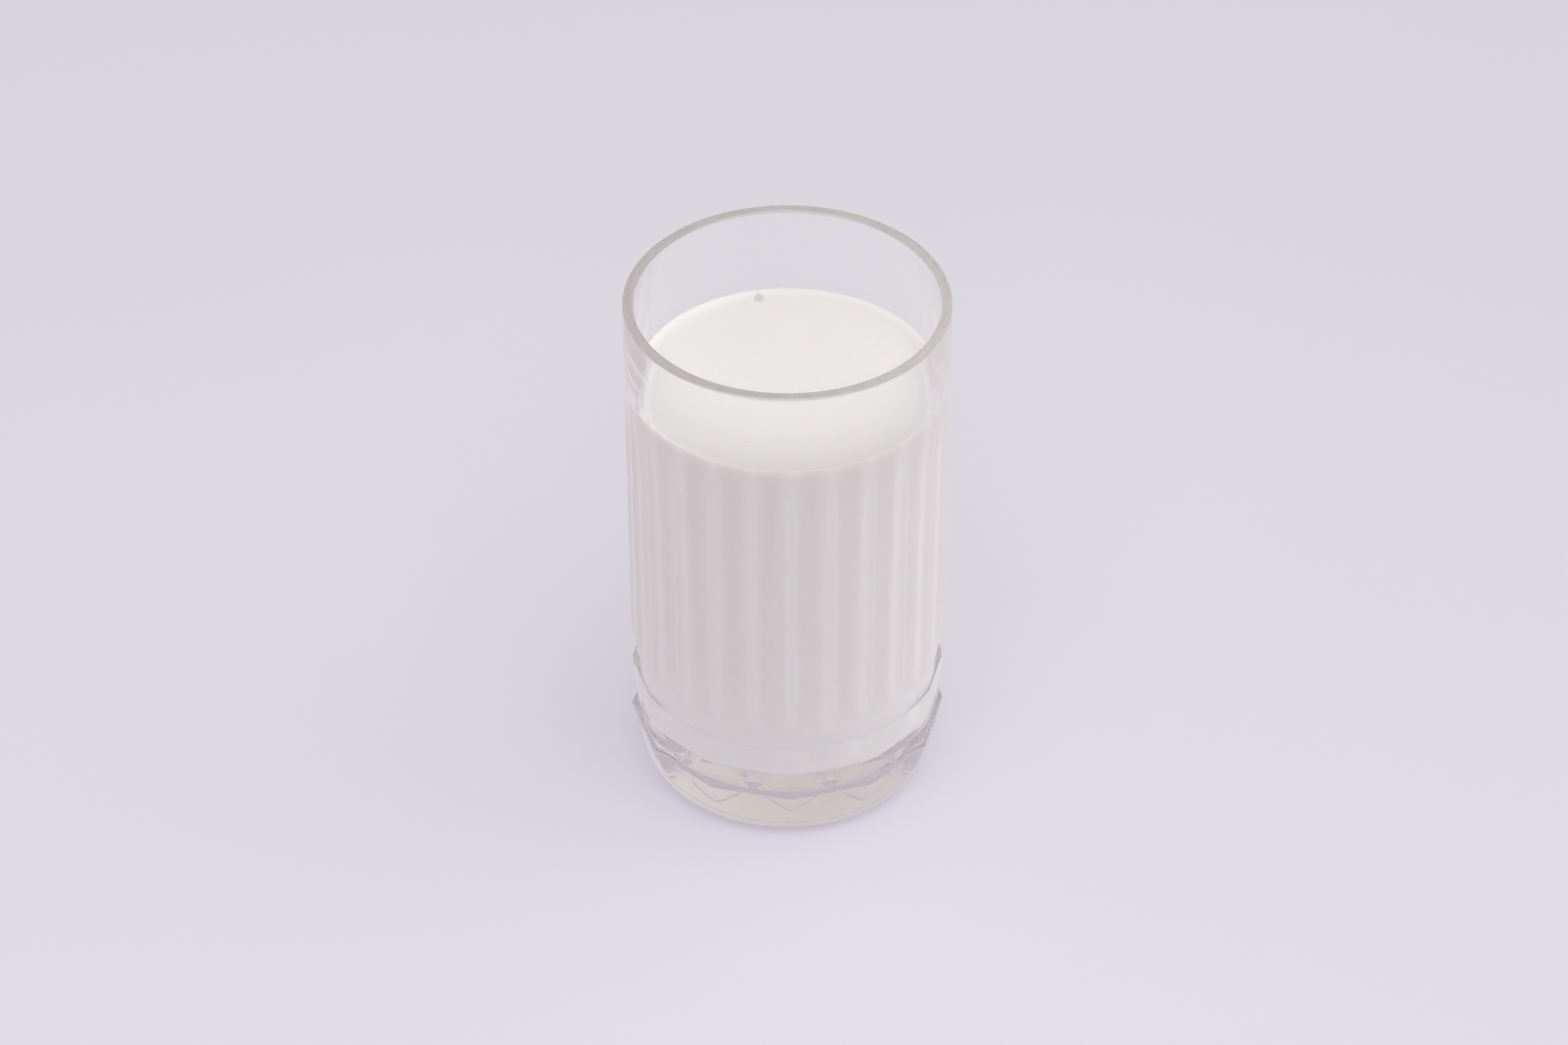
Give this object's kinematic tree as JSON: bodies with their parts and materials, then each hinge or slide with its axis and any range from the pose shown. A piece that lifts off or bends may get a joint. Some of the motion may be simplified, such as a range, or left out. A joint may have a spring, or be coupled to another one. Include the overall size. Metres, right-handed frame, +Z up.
{
  "type": "glass of milk",
  "caption": "Tall clear tumbler with fluted sides and a heavy stepped, faceted base, filled with milk to below a plain rim; a drink to lift and pour.",
  "frame": {"origin": "centre of the foot, on the surface that the glass stands on", "axes": "+Z up along the axis of the glass, -Y towards the front, where a flute ridge stands"},
  "size_m": [0.078, 0.078, 0.137],
  "materials": {
    "clear_glass": "fire-polished clear pressed glass",
    "milk": "smooth opaque white liquid"
  },
  "bodies": {
    "root": {"glass": "clear_glass", "milk": "milk"}
  },
  "joints": []
}
